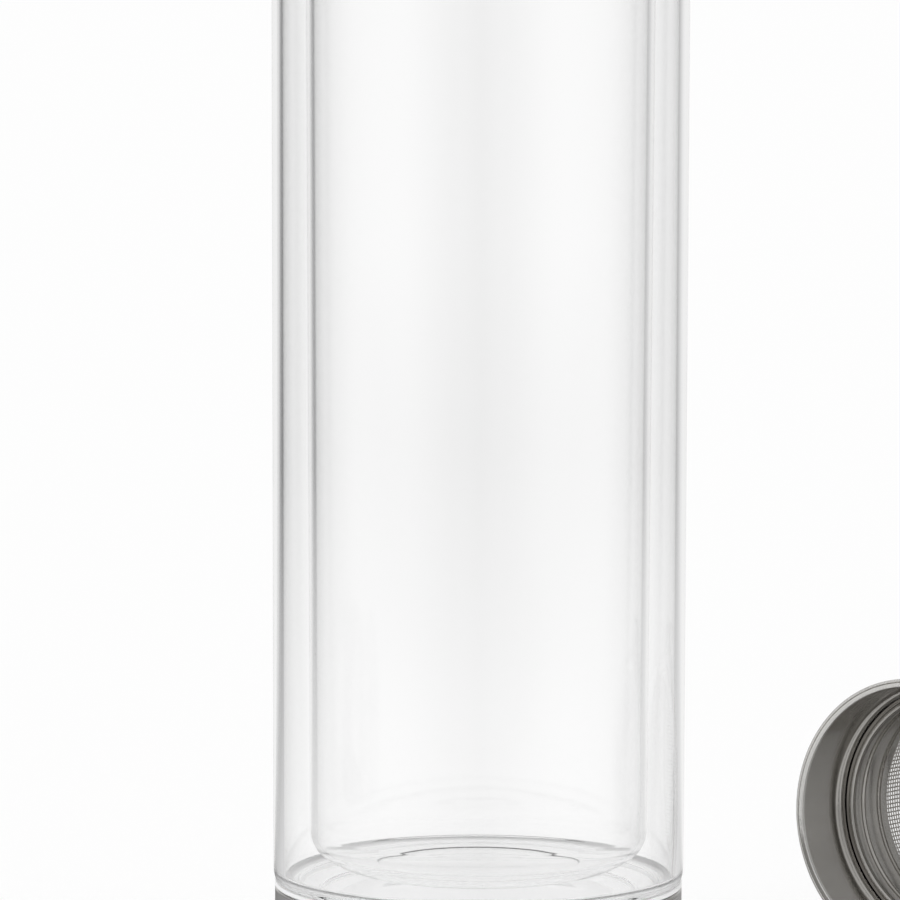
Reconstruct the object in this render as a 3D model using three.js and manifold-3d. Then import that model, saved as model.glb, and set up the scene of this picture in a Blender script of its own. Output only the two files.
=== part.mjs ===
// Tea infuser flask: clear double walls, a steel base, a screw lid, and its infuser lying beside it.
// Millimetres, +Z up. The origin is where the flask's axis meets the table.
import * as THREE from 'three';
import { mergeVertices } from 'three/addons/utils/BufferGeometryUtils.js';
import Module from 'manifold-3d';

const wasm = await Module();
wasm.setup();

// Clearances
const GAP = 0.3; // between pieces that sit on or in each other
const INFUSER_CLEARANCE = 0.4; // around the infuser in the neck
const THREAD_CLEARANCE = 0.4; // from the crest of one thread to the root of the other

// Outer jacket
const BODY_RADIUS = 35.1; // at the top, where the mould draft makes it widest
const JACKET_DRAFT = THREE.MathUtils.degToRad(0.09);
const JACKET_HEIGHT = 175.2;
const JACKET_WALL = 1.8;
const JACKET_FLOOR = 1.2;
const JACKET_SEAT_DEPTH = 2.7; // how deep its foot sits below the steel's edge
const JACKET_CORNER_WIDTH = 1;
const JACKET_CORNER_HEIGHT = 2.4;
const JACKET_DISH = 27.8; // radius of the floor's dish
const JACKET_INNER_CORNER = 0.6;
const JACKET_RIM_ROUND = 0.5;
const FLOOR_FLAT = 18.3; // radius of the flat middle of both clear floors

// Inner vessel
const AIR_GAP = 3.9; // between the two walls at the top
const FLOOR_GAP = 3.57; // between the two floors
const VESSEL_WALL = 1.3;
const VESSEL_FLOOR = 1.08;
const VESSEL_DRAFT = THREE.MathUtils.degToRad(0.27);
const VESSEL_DISH = 15;
const VESSEL_CORNER = 3;
const FLANGE_THICKNESS = 2;
const FLANGE_LIP_DEPTH = 3;
const FLANGE_LIP_WALL = 1.4;

// Neck collar and its seal
const COLLAR_THICKNESS = 2.4;
const COLLAR_LIP = 1.7; // outer lip that hides the seal
const SEAL_THICKNESS = 0.8;
const SPIGOT_WALL = 3.9;
const SPIGOT_DEPTH = 6;
const NECK_HEIGHT = 13;
const NECK_WALL = 2.9;
const NECK_RIM_ROUND = 0.5;

// Two-start thread of neck and lid
const THREAD_STARTS = 2;
const THREAD_LEAD = 8;
const THREAD_DEPTH = 1.2;
const THREAD_BASE = 1.9;
const THREAD_CREST = 0.8;
const THREAD_SINK = 0.4; // root of the ridge inside the wall that it grows from
const THREAD_FADE = 0.12; // share of its length over which each end fades out
const THREAD_LOWER_GAP = 4.4; // from the collar's top face to the neck's first turn
const THREAD_UPPER_GAP = 2.6; // from the neck's last turn to its rim

// Steel base
const STEEL_STEP = 0.28; // steel is this much smaller than the jacket beside it
const BASE_HEIGHT = 15.5;
const BASE_WALL = 0.8;
const BASE_CORNER = 2.5;
const BASE_LIFT = 0.8; // steel above the table
const CUSHION_RIM = 1; // wall of the cushion around the jacket's foot
const CUSHION_LIP = 0.4; // its lip between the steel's edge and the jacket
const FOOT_MARGIN = 5.4; // from the base's side to the recess of the foot pad
const FOOT_THICKNESS = 1.6;
const FOOT_CHAMFER = 0.4;

// Screw lid
const LID_WALL = 0.7;
const LID_EDGE_ROUND = 3;
const LINER_WALL = 2;
const LINER_PLATE = 2;
const LINER_FLANGE = 1.6;
const LINER_BOSS_WALL = 1.6;
const GASKET_THICKNESS = 1.5;
const INSULATION_THICKNESS = 7;

// Infuser, measured along its axis from the mouth
const INFUSER_LENGTH = 84;
const INFUSER_SHEET = 0.5;
const INFUSER_RIM_OVERHANG = 0.9;
const INFUSER_RIM_BEAD = 0.75; // radius of the rolled rim
const INFUSER_COLLAR_DEPTH = 10.2;
const INFUSER_SHOULDER_HEIGHT = 1.4;
const INFUSER_SHOULDER_STEP = 0.8;
const INFUSER_MESH_THICKNESS = 0.3;
const BAND_BEAD_DEPTH = 0.55;
const BAND_BEAD_WIDTH = 1.8;
const BAND_LENGTH = 11.4;
const BAND_HEAD = 4; // from the band's upper edge to its first bead
const BAND_TAIL = 2.6; // from its second bead to its lower edge
const SKIRT_OVERLAP = 0.7; // skirt past the band's lower edge
const GRID_COLUMNS = 12; // openings round the sleeve
const GRID_ROWS = 6; // openings along it
const GRID_OPEN = 0.67; // share of the pitch that is open, as in the weave
const END_RING_HEIGHT = 7;
const END_RING_FLANGE = 2.6;

// Where the infuser lies: from the jacket's side to its axis, and how far back its mouth is
const INFUSER_ASIDE = 15.7;
const INFUSER_BACK = 56.7;

// Facets
const ROUND_STEPS = 40;
const ARC_STEPS = 4;
const RIM_STEPS = 3;
const DISH_STEPS = 5;
const BEAD_STEPS = 4;

// Heights of the stack, from the table up
const cushionLipZ = BASE_HEIGHT + GAP;
const shoulderZ = cushionLipZ + CUSHION_LIP + GAP;
const jacketFootZ = BASE_HEIGHT - JACKET_SEAT_DEPTH;
const jacketFloorZ = jacketFootZ + JACKET_FLOOR;
const jacketTopZ = jacketFootZ + JACKET_HEIGHT;
const vesselFootZ = jacketFloorZ + FLOOR_GAP;
const vesselFloorZ = vesselFootZ + VESSEL_FLOOR;
const flangeZ = jacketTopZ + GAP;
const flangeTopZ = flangeZ + FLANGE_THICKNESS;
const collarZ = flangeTopZ + GAP;
const sealCeilingZ = collarZ + SEAL_THICKNESS + GAP;
const collarTopZ = collarZ + COLLAR_THICKNESS;
const neckTopZ = collarTopZ + NECK_HEIGHT;
const ledgeZ = neckTopZ - 2 * INFUSER_RIM_BEAD - GAP;
const neckThreadZ = collarTopZ + THREAD_LOWER_GAP;
const lidThreadZ = neckThreadZ - THREAD_LEAD / THREAD_STARTS / 2;
const threadTurns = (NECK_HEIGHT - THREAD_LOWER_GAP - THREAD_UPPER_GAP) / THREAD_LEAD;
const lidBottomZ = collarTopZ + GAP;
const gasketZ = neckTopZ + GAP;
const linerPlateZ = gasketZ + GASKET_THICKNESS + GAP;
const insulationZ = linerPlateZ + LINER_PLATE + GAP;
const lidCeilingZ = insulationZ + INSULATION_THICKNESS + GAP;
const lidTopZ = lidCeilingZ + LID_WALL;

// Radii, from the jacket inwards
const jacketOuterAt = (z) => BODY_RADIUS - (jacketTopZ - z) * Math.tan(JACKET_DRAFT);
const jacketInnerAt = (z) => jacketOuterAt(z) - JACKET_WALL;
const jacketInner = jacketInnerAt(jacketTopZ);
const vesselOuterTop = jacketInner - AIR_GAP;
const vesselInnerTop = vesselOuterTop - VESSEL_WALL;
const spigotOuter = vesselInnerTop - GAP;
const neckBore = spigotOuter - SPIGOT_WALL;
const infuserCollarOuter = neckBore - INFUSER_CLEARANCE;
const infuserRim = infuserCollarOuter + INFUSER_RIM_OVERHANG;
const neckSeat = infuserRim + INFUSER_CLEARANCE;
const neckOuter = neckSeat + NECK_WALL;
const neckCrest = neckOuter + THREAD_DEPTH;
const linerInner = neckCrest + THREAD_CLEARANCE;
const linerCrest = neckOuter + THREAD_CLEARANCE;
const linerOuter = linerInner + LINER_WALL;
const baseRadius = jacketOuterAt(BASE_HEIGHT) - STEEL_STEP;
const baseInner = baseRadius - BASE_WALL;
const cushionOuter = baseInner - GAP;
const cushionInner = cushionOuter - CUSHION_RIM;
const lidRadius = BODY_RADIUS - STEEL_STEP;
const lidInner = lidRadius - LID_WALL;
const footRecess = baseRadius - FOOT_MARGIN;
const bossOuter = infuserCollarOuter - INFUSER_SHEET - GAP;

// Profile points are [radius, height], counter-clockwise around the metal of the section.

// Points on an elliptic arc of a profile, angles in degrees from the outward direction
function arc(radius, height, width, rise, from, to, steps = ARC_STEPS) {
  const points = [];
  for (let i = 0; i <= steps; i += 1) {
    const angle = THREE.MathUtils.degToRad(from + ((to - from) * i) / steps);
    points.push([radius + width * Math.cos(angle), height + rise * Math.sin(angle)]);
  }
  return points;
}

// Solid of revolution about Y; a profile that starts off the axis closes on itself
function turned(profile) {
  const points = profile.map(([radius, height]) => new THREE.Vector2(radius, height));
  if (points[0].x > 0) {
    points.push(points[0].clone());
  }
  return new THREE.LatheGeometry(points, ROUND_STEPS);
}

// Solid of revolution about Z
function upright(profile) {
  return turned(profile).rotateX(Math.PI / 2);
}

// Helical ridge about Z with a four-cornered section, from its root to its crest
function threadRidge(root, crest, startZ, startAngle) {
  const steps = Math.round(ROUND_STEPS * threadTurns);
  const sections = [];
  for (let i = 0; i <= steps; i += 1) {
    const share = i / steps;
    const angle = startAngle + share * threadTurns * 2 * Math.PI;
    const z = startZ + share * threadTurns * THREAD_LEAD;
    const height = Math.min(1, share / THREAD_FADE, (1 - share) / THREAD_FADE);
    const top = root + (crest - root) * Math.max(height, THREAD_SINK / THREAD_DEPTH / 2);
    const corners = [
      [root, z - THREAD_BASE / 2],
      [top, z - THREAD_CREST / 2],
      [top, z + THREAD_CREST / 2],
      [root, z + THREAD_BASE / 2],
    ];
    const turn = ([radius, level]) => [radius * Math.cos(angle), radius * Math.sin(angle), level];
    sections.push(corners.map(turn));
  }
  const count = sections[0].length;
  const last = steps * count;
  const indices = [0, 1, 2, 0, 2, 3, last, last + 2, last + 1, last, last + 3, last + 2];
  for (let i = 0; i < steps; i += 1) {
    for (let j = 0; j < count; j += 1) {
      const a = i * count + j;
      const b = i * count + ((j + 1) % count);
      indices.push(a, a + count, b, b, a + count, b + count);
    }
  }
  const outward = crest > root;
  const geometry = new THREE.BufferGeometry();
  geometry.setAttribute('position', new THREE.Float32BufferAttribute(sections.flat(2), 3));
  geometry.setIndex(outward ? indices : indices.toReversed());
  return geometry;
}

// Closed solid for joining, from a geometry's merged vertices
function solidOf(geometry) {
  const bare = geometry.clone();
  bare.deleteAttribute('normal');
  bare.deleteAttribute('uv');
  const merged = mergeVertices(bare);
  const vertProperties = new Float32Array(merged.attributes.position.array);
  const triVerts = new Uint32Array(merged.index.array);
  return new wasm.Manifold(new wasm.Mesh({ numProp: 3, vertProperties, triVerts }));
}

// Geometry of a closed solid
function geometryOf(solid) {
  const mesh = solid.getMesh();
  const geometry = new THREE.BufferGeometry();
  geometry.setAttribute('position', new THREE.BufferAttribute(mesh.vertProperties, 3));
  geometry.setIndex(new THREE.BufferAttribute(mesh.triVerts, 1));
  geometry.computeVertexNormals();
  return geometry;
}

// Geometry of several solids joined into one
function joined(geometries) {
  const [first, ...rest] = geometries.map(solidOf);
  return geometryOf(rest.reduce((whole, piece) => whole.add(piece), first));
}

// Both starts of a thread
function threadStarts(root, crest, startZ) {
  return Array.from({ length: THREAD_STARTS }, (_, start) =>
    threadRidge(root, crest, startZ, (start * 2 * Math.PI) / THREAD_STARTS));
}

// Floor of a cup, from its flat middle outwards: a shallow dish, then the corner up to the wall
function dishedFloor(wall, floorZ, dish, corner) {
  const across = wall - corner - FLOOR_FLAT;
  const down = Math.sqrt((dish - corner) ** 2 - across ** 2);
  const meet = THREE.MathUtils.radToDeg(Math.atan2(across, down)) - 90;
  const cornerZ = floorZ + dish - down;
  return [
    ...arc(FLOOR_FLAT, floorZ + dish, dish, dish, -90, meet, DISH_STEPS),
    ...arc(wall - corner, cornerZ, corner, corner, meet, 0).slice(1),
  ];
}

// Clear outer cup: rounded shoulder on the base, drafted wall, dished floor
function outerJacket() {
  const foot = cushionInner - GAP;
  const cornerZ = shoulderZ + JACKET_CORNER_HEIGHT;
  const cornerR = jacketOuterAt(cornerZ) - JACKET_CORNER_WIDTH;
  const floor = dishedFloor(jacketInnerAt(cornerZ), jacketFloorZ, JACKET_DISH, JACKET_INNER_CORNER);
  const rimR = BODY_RADIUS - JACKET_RIM_ROUND;
  const rimZ = jacketTopZ - JACKET_RIM_ROUND;
  return upright([
    [0, jacketFootZ],
    [foot, jacketFootZ],
    [foot, shoulderZ],
    ...arc(cornerR, cornerZ, JACKET_CORNER_WIDTH, JACKET_CORNER_HEIGHT, -90, 0),
    ...arc(rimR, rimZ, JACKET_RIM_ROUND, JACKET_RIM_ROUND, 0, 90, RIM_STEPS),
    [jacketInner, jacketTopZ],
    ...floor.reverse(),
    [0, jacketFloorZ],
  ]);
}

// Clear inner cup: drafted wall, dished bottom, flange on the jacket's rim
function innerVessel() {
  const narrowing = (z) => (flangeZ - z) * Math.tan(VESSEL_DRAFT);
  const bottomR = vesselOuterTop - narrowing(vesselFootZ);
  const outside = dishedFloor(bottomR, vesselFootZ, VESSEL_DISH, VESSEL_CORNER);
  const innerDish = VESSEL_DISH - VESSEL_FLOOR;
  const inside = dishedFloor(bottomR - VESSEL_WALL, vesselFloorZ, innerDish, VESSEL_CORNER - VESSEL_WALL);
  const lip = jacketInner - GAP;
  return upright([
    [0, vesselFootZ],
    ...outside,
    [vesselOuterTop, flangeZ],
    [lip - FLANGE_LIP_WALL, flangeZ],
    [lip - FLANGE_LIP_WALL, flangeZ - FLANGE_LIP_DEPTH],
    [lip, flangeZ - FLANGE_LIP_DEPTH],
    [lip, flangeZ],
    [BODY_RADIUS, flangeZ],
    [BODY_RADIUS, flangeTopZ],
    [vesselInnerTop, flangeTopZ],
    ...inside.reverse(),
    [0, vesselFloorZ],
  ]);
}

// Threaded ring on the flange, with the bore and the ledge that carry the infuser
function neckCollar() {
  const recess = BODY_RADIUS - COLLAR_LIP;
  const rimZ = neckTopZ - NECK_RIM_ROUND;
  const body = upright([
    [neckBore, collarZ - SPIGOT_DEPTH],
    [spigotOuter, collarZ - SPIGOT_DEPTH],
    [spigotOuter, sealCeilingZ],
    [recess, sealCeilingZ],
    [recess, collarZ],
    [BODY_RADIUS, collarZ],
    [BODY_RADIUS, collarTopZ],
    [neckOuter, collarTopZ],
    ...arc(neckOuter - NECK_RIM_ROUND, rimZ, NECK_RIM_ROUND, NECK_RIM_ROUND, 0, 90, RIM_STEPS),
    [neckSeat, neckTopZ],
    [neckSeat, ledgeZ],
    [neckBore, ledgeZ],
  ]);
  const ridges = threadStarts(neckOuter - THREAD_SINK, neckCrest, neckThreadZ);
  return joined([body, ...ridges]);
}

function neckSeal() {
  const inner = spigotOuter + GAP;
  const outer = BODY_RADIUS - COLLAR_LIP - GAP;
  const topZ = collarZ + SEAL_THICKNESS;
  return upright([
    [inner, collarZ],
    [outer, collarZ],
    [outer, topZ],
    [inner, topZ],
  ]);
}

// Drawn steel cup, its floor raised in the middle for the foot pad
function baseShell() {
  const recessZ = FOOT_THICKNESS + GAP;
  const cornerZ = BASE_LIFT + BASE_CORNER;
  const cornerR = baseRadius - BASE_CORNER;
  const innerCorner = BASE_CORNER - BASE_WALL;
  const rimRound = BASE_WALL / 2;
  return upright([
    [0, recessZ],
    [footRecess, recessZ],
    [footRecess, BASE_LIFT],
    ...arc(cornerR, cornerZ, BASE_CORNER, BASE_CORNER, -90, 0),
    ...arc(baseRadius - rimRound, BASE_HEIGHT - rimRound, rimRound, rimRound, 0, 180, RIM_STEPS),
    ...arc(cornerR, cornerZ, innerCorner, innerCorner, 0, -90),
    [footRecess + BASE_WALL, BASE_LIFT + BASE_WALL],
    [footRecess + BASE_WALL, recessZ + BASE_WALL],
    [0, recessZ + BASE_WALL],
  ]);
}

// White pad that fills the base: a cup around the jacket's foot with a lip on the steel's edge
function baseCushion() {
  const bottomZ = FOOT_THICKNESS + GAP + BASE_WALL + GAP;
  const floorZ = jacketFootZ - GAP;
  const chamfer = BASE_CORNER - BASE_WALL;
  return upright([
    [0, bottomZ],
    [cushionOuter - chamfer, bottomZ],
    [cushionOuter, bottomZ + chamfer],
    [cushionOuter, cushionLipZ],
    [baseRadius, cushionLipZ],
    [baseRadius, cushionLipZ + CUSHION_LIP],
    [cushionInner, cushionLipZ + CUSHION_LIP],
    [cushionInner, floorZ],
    [0, floorZ],
  ]);
}

function footPad() {
  const outer = footRecess - GAP;
  return upright([
    [0, 0],
    [outer - FOOT_CHAMFER, 0],
    [outer, FOOT_CHAMFER],
    [outer, FOOT_THICKNESS],
    [0, FOOT_THICKNESS],
  ]);
}

// Steel cap
function lidShell() {
  const edgeZ = lidTopZ - LID_EDGE_ROUND;
  const edgeR = lidRadius - LID_EDGE_ROUND;
  const innerEdge = LID_EDGE_ROUND - LID_WALL;
  return upright([
    [0, lidCeilingZ],
    ...arc(edgeR, edgeZ, innerEdge, innerEdge, 90, 0),
    [lidInner, lidBottomZ],
    [lidRadius, lidBottomZ],
    ...arc(edgeR, edgeZ, LID_EDGE_ROUND, LID_EDGE_ROUND, 0, 90),
    [0, lidTopZ],
  ]);
}

// Threaded insert of the lid: plate, boss that centres the gasket, skirt and foot flange
function lidLiner() {
  const outer = lidInner - GAP;
  const bottomZ = lidBottomZ + GAP;
  const body = upright([
    [0, linerPlateZ],
    [bossOuter - LINER_BOSS_WALL, linerPlateZ],
    [bossOuter - LINER_BOSS_WALL, gasketZ],
    [bossOuter, gasketZ],
    [bossOuter, linerPlateZ],
    [linerInner, linerPlateZ],
    [linerInner, bottomZ],
    [outer, bottomZ],
    [outer, bottomZ + LINER_FLANGE],
    [linerOuter, bottomZ + LINER_FLANGE],
    [linerOuter, linerPlateZ],
    [outer, linerPlateZ],
    [outer, linerPlateZ + LINER_PLATE],
    [0, linerPlateZ + LINER_PLATE],
  ]);
  const ridges = threadStarts(linerInner + THREAD_SINK, linerCrest, lidThreadZ);
  return joined([body, ...ridges]);
}

function lidInsulation() {
  const outer = lidInner - LID_EDGE_ROUND;
  return upright([
    [0, insulationZ],
    [outer, insulationZ],
    [outer, insulationZ + INSULATION_THICKNESS],
    [0, insulationZ + INSULATION_THICKNESS],
  ]);
}

function lidGasket() {
  const inner = bossOuter + GAP;
  const outer = linerInner - GAP;
  return upright([
    [inner, gasketZ],
    [outer, gasketZ],
    [outer, gasketZ + GASKET_THICKNESS],
    [inner, gasketZ + GASKET_THICKNESS],
  ]);
}

// Infuser pieces, turned about Y with the mouth at 0
const infuserCollarInner = infuserCollarOuter - INFUSER_SHEET;
const skirtOuter = infuserCollarOuter - INFUSER_SHOULDER_STEP;
const skirtInner = skirtOuter - INFUSER_SHEET;
const meshOuter = skirtInner - GAP;
const meshInner = meshOuter - INFUSER_MESH_THICKNESS;
const bandOuter = meshInner - GAP;
const shoulderEnd = INFUSER_COLLAR_DEPTH + INFUSER_SHOULDER_HEIGHT;
const meshStart = shoulderEnd + GAP;
const skirtEnd = meshStart + BAND_LENGTH + SKIRT_OVERLAP;
const endFlangeStart = INFUSER_LENGTH - INFUSER_SHEET;
const endMeshStart = endFlangeStart - GAP - INFUSER_MESH_THICKNESS;

// Rolled rim, straight mouth, shoulder and the skirt that the mesh is fixed in
function infuserCollar() {
  const beadR = infuserRim - INFUSER_RIM_BEAD;
  return turned([
    ...arc(beadR, INFUSER_RIM_BEAD, INFUSER_RIM_BEAD, INFUSER_RIM_BEAD, -180, 90, 2 * ARC_STEPS),
    [infuserCollarOuter, 2 * INFUSER_RIM_BEAD],
    [infuserCollarOuter, INFUSER_COLLAR_DEPTH],
    [skirtOuter, shoulderEnd],
    [skirtOuter, skirtEnd],
    [skirtInner, skirtEnd],
    [skirtInner, shoulderEnd - INFUSER_SHEET],
    [infuserCollarInner, INFUSER_COLLAR_DEPTH - INFUSER_SHEET],
    [infuserCollarInner, INFUSER_RIM_BEAD],
  ]);
}

// Inner band with two beads pressed inwards
function infuserClampBand() {
  const places = [[0, 0]];
  for (const place of [BAND_HEAD, BAND_LENGTH - BAND_TAIL]) {
    for (let i = 0; i <= BEAD_STEPS; i += 1) {
      const share = i / BEAD_STEPS;
      const dip = (BAND_BEAD_DEPTH * (1 - Math.cos(2 * Math.PI * share))) / 2;
      places.push([place + BAND_BEAD_WIDTH * (share - 0.5), dip]);
    }
  }
  places.push([BAND_LENGTH, 0]);
  const outside = places.map(([place, dip]) => [bandOuter - dip, meshStart + place]);
  const inside = places.map(([place, dip]) => [bandOuter - INFUSER_SHEET - dip, meshStart + place]);
  return turned([...outside, ...inside.reverse()]);
}

// Sleeve with a plain grid of openings that stands for the weave
function infuserMesh() {
  const end = endMeshStart - GAP;
  const sleeve = turned([
    [meshInner, meshStart],
    [meshOuter, meshStart],
    [meshOuter, end],
    [meshInner, end],
  ]);
  const gridEnd = INFUSER_LENGTH - END_RING_HEIGHT;
  const pitch = (gridEnd - skirtEnd) / GRID_ROWS;
  const width = 2 * meshOuter * Math.sin((GRID_OPEN * Math.PI) / GRID_COLUMNS);
  let solid = solidOf(sleeve);
  for (let row = 0; row < GRID_ROWS; row += 1) {
    for (let column = 0; column < GRID_COLUMNS; column += 1) {
      const opening = new THREE.BoxGeometry(meshOuter, GRID_OPEN * pitch, width);
      opening.translate(meshOuter, skirtEnd + (row + 1 / 2) * pitch, 0);
      opening.rotateY((column * 2 * Math.PI) / GRID_COLUMNS);
      solid = solid.subtract(solidOf(opening));
    }
  }
  return geometryOf(solid);
}

function infuserEndMesh() {
  return turned([
    [0, endMeshStart],
    [meshOuter, endMeshStart],
    [meshOuter, endMeshStart + INFUSER_MESH_THICKNESS],
    [0, endMeshStart + INFUSER_MESH_THICKNESS],
  ]);
}

function infuserEndRing() {
  return turned([
    [skirtInner, INFUSER_LENGTH - END_RING_HEIGHT],
    [skirtOuter, INFUSER_LENGTH - END_RING_HEIGHT],
    [skirtOuter, INFUSER_LENGTH],
    [skirtOuter - END_RING_FLANGE, INFUSER_LENGTH],
    [skirtOuter - END_RING_FLANGE, endFlangeStart],
    [skirtInner, endFlangeStart],
  ]);
}

// Materials
function material(color, roughness, metalness, opacity = 1) {
  return new THREE.MeshStandardMaterial({ color, roughness, metalness, opacity, transparent: opacity < 1 });
}

const clear = () => material(0xf4f6f6, 0.05, 0, 0.3);
const steel = () => material(0x9c9a96, 0.28, 1);
const infuserSteel = () => material(0x8f8c86, 0.3, 1);
const whiteFoam = () => material(0xf2f2f0, 0.8, 0);
const greyPlastic = () => material(0xb9bbbc, 0.5, 0);
const silicone = () => material(0xe4e4e2, 0.7, 0);

function piece(name, geometry, finish) {
  const mesh = new THREE.Mesh(geometry, finish);
  mesh.name = name;
  return mesh;
}

const flask = new THREE.Group();
flask.add(
  piece('outer_jacket', outerJacket(), clear()),
  piece('inner_vessel', innerVessel(), clear()),
  piece('neck_collar', neckCollar(), greyPlastic()),
  piece('neck_seal', neckSeal(), silicone()),
  piece('base_shell', baseShell(), steel()),
  piece('base_cushion', baseCushion(), whiteFoam()),
  piece('foot_pad', footPad(), silicone()),
);

const lid = new THREE.Group();
lid.add(
  piece('lid_shell', lidShell(), steel()),
  piece('lid_liner', lidLiner(), greyPlastic()),
  piece('lid_insulation', lidInsulation(), whiteFoam()),
  piece('lid_gasket', lidGasket(), silicone()),
);

const infuser = new THREE.Group();
infuser.add(
  piece('infuser_collar', infuserCollar(), infuserSteel()),
  piece('infuser_clamp_band', infuserClampBand(), infuserSteel()),
  piece('infuser_mesh', infuserMesh(), infuserSteel()),
  piece('infuser_end_mesh', infuserEndMesh(), infuserSteel()),
  piece('infuser_end_ring', infuserEndRing(), infuserSteel()),
);

// The infuser lies on its rim and its end ring, so its axis dips towards the closed end.
const infuserDip = Math.atan2(infuserRim - skirtOuter, INFUSER_LENGTH - INFUSER_RIM_BEAD);
const mouthHeight = infuserRim * Math.cos(infuserDip) + INFUSER_RIM_BEAD * Math.sin(infuserDip);
infuser.position.set(BODY_RADIUS + INFUSER_ASIDE, INFUSER_BACK, mouthHeight);
infuser.rotation.x = -infuserDip;

const teaInfuserFlask = new THREE.Group();
teaInfuserFlask.add(flask, lid, infuser);

export default teaInfuserFlask;
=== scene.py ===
"""Looks of the tea infuser flask: clear double walls, steel base and lid, and the infuser lying beside it."""
import math

import bpy
from mathutils import Matrix, Vector


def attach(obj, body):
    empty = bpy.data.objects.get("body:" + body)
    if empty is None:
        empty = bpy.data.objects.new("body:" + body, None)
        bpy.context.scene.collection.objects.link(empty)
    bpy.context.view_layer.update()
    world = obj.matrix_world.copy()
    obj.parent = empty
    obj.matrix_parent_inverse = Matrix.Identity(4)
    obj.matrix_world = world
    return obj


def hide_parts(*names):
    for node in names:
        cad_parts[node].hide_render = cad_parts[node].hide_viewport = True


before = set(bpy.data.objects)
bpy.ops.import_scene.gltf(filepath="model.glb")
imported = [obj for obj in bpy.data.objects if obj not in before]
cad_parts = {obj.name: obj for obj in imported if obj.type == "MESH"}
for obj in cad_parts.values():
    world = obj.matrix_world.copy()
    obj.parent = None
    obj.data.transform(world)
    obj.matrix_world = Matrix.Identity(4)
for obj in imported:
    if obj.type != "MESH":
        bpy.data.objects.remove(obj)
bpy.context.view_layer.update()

MM = 0.001
TURN = 2 * math.pi

# Camera, fitted to the flask's rings and the infuser's mouth in the photograph, with angles in degrees
PHOTO_AZIMUTH = 37.1225
CAMERA_DISTANCE = 1098.05 * MM
CAMERA_AIM_HEIGHT = 89.85 * MM
CAMERA_PITCH = 6.1871
CAMERA_YAW = 0.2619
CAMERA_ROLL = 0.1349
CAMERA_CLIP = (0.05, 50)
FOCAL_PIXELS = 6503.8
PHOTO_PIXELS = 900
SENSOR_WIDTH = 36

# Smoothness of the pieces
CLEAR_STEPS = 288
STEEL_STEPS = 192
PLASTIC_STEPS = 128
CORNER_POINTS = 10
EDGE_POINTS = 4
SMOOTH_ANGLE = math.radians(32)
WIRE_SMOOTH_ANGLE = math.radians(150)
MERGE_DISTANCE = 0.002 * MM
WALL_SHARES = (0.004, 0.03, 0.15, 0.5, 0.85, 0.97, 0.996)

# Sizes of the pieces, from here to the weave, are in millimetres
GAP = 0.3  # between pieces that sit on or in each other
EDGE = 0.3  # round of a moulded edge
SHEET_EDGE = 0.2  # round of a cut steel edge

# Clear jacket
BODY_RADIUS = 35.1
JACKET_SLOPE = math.tan(math.radians(0.09))
JACKET_FOOT_Z = 12.8
JACKET_FLOOR_Z = 14
JACKET_CORNER_Z = 18.9
JACKET_TOP_Z = 188
JACKET_WALL = 1.8
JACKET_CORNER = 1
JACKET_RIM = 0.5
JACKET_RIM_INSIDE = 0.2
JACKET_DISH = 27.8
FLOOR_FLAT = 18.3
JACKET_RINGS = (26.7, 30.4, 32.1)
RING_HALF_WIDTH = 0.3
RING_HEIGHT = 0.08

# Clear vessel
VESSEL_SLOPE = math.tan(math.radians(0.27))
VESSEL_FOOT_Z = 18.2
VESSEL_FLOOR = 1.08
VESSEL_FLOOR_Z = VESSEL_FOOT_Z + VESSEL_FLOOR
VESSEL_TOP_R = 29.4
VESSEL_WALL = 1.3
VESSEL_FLAT = 17.4
VESSEL_DISH = 15
VESSEL_CORNER = 5
VESSEL_MOUTH_EDGE = 0.4
DISC_DEPTH = 0.13
DISC_EDGE = ((0.6, 0.13), (0.45, 0.13), (0.35, 0.125), (0.28, 0.11), (0.12, 0.02), (0.05, 0.005))
FLANGE_Z = 188.3
FLANGE_TOP_Z = 190.3
FLANGE_LIP_DEPTH = 3
FLANGE_LIP_WALL = 1.4

# Neck ring and its seal
COLLAR_Z = 190.6
COLLAR_TOP_Z = 193
COLLAR_LIP = 1.7
SPIGOT_DEPTH = 6
SPIGOT_EDGE = 0.4
NECK_TOP_Z = 206
NECK_BORE = 23.9
NECK_SEAT = 24.8
NECK_OUTER = 27.7
NECK_RIM = 0.5
SEAL_THICKNESS = 0.8
SEAL_MARGIN = 2
SEAL_EDGE = 0.2

# Steel base with its white cushion and its foot
BASE_TOP_Z = 15.5
BASE_STEP = 0.28
BASE_WALL = 0.8
BASE_LIFT = 0.8
BASE_CORNER = 2.5
BASE_BEND = 0.5
CUSHION_LIP = 0.4
CUSHION_CORNER = 1.7
CUSHION_EDGE = 0.1
CONTACT = 0.02  # how far the cushion reaches into the clear foot
SEAT_CHANNELS = ((23.35, 26.35), (27.05, 30.05), (30.75, 31.75))
SEAT_CHANNEL_DEPTH = 0.3
CHANNEL_SIDE = 0.03
FOOT_MARGIN = 5.4
FOOT_THICKNESS = 1.6
FOOT_EDGE = 0.4
FOOT_TOP_EDGE = 0.15
FOOT_GROOVES = (10, 17, 24)
GROOVE_HALF_WIDTH = 0.5
GROOVE_DEPTH = 0.35

# Lid
LID_BOTTOM_Z = 193.3
LID_TOP_Z = 218.4
LID_RADIUS = 34.82
LID_WALL = 0.7
LID_EDGE = 3
LINER_INNER = 29.3
LINER_WALL = 2
LINER_PLATE = 2
LINER_FLANGE = 1.6
LINER_BOSS_WALL = 1.6
LINER_MOUTH_EDGE = 0.4
GASKET_INNER = 23
GASKET_OUTER = 29
GASKET_THICKNESS = 1.5
GASKET_EDGE = 0.4
INSULATION_THICKNESS = 7
INSULATION_EDGE = 0.6

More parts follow.
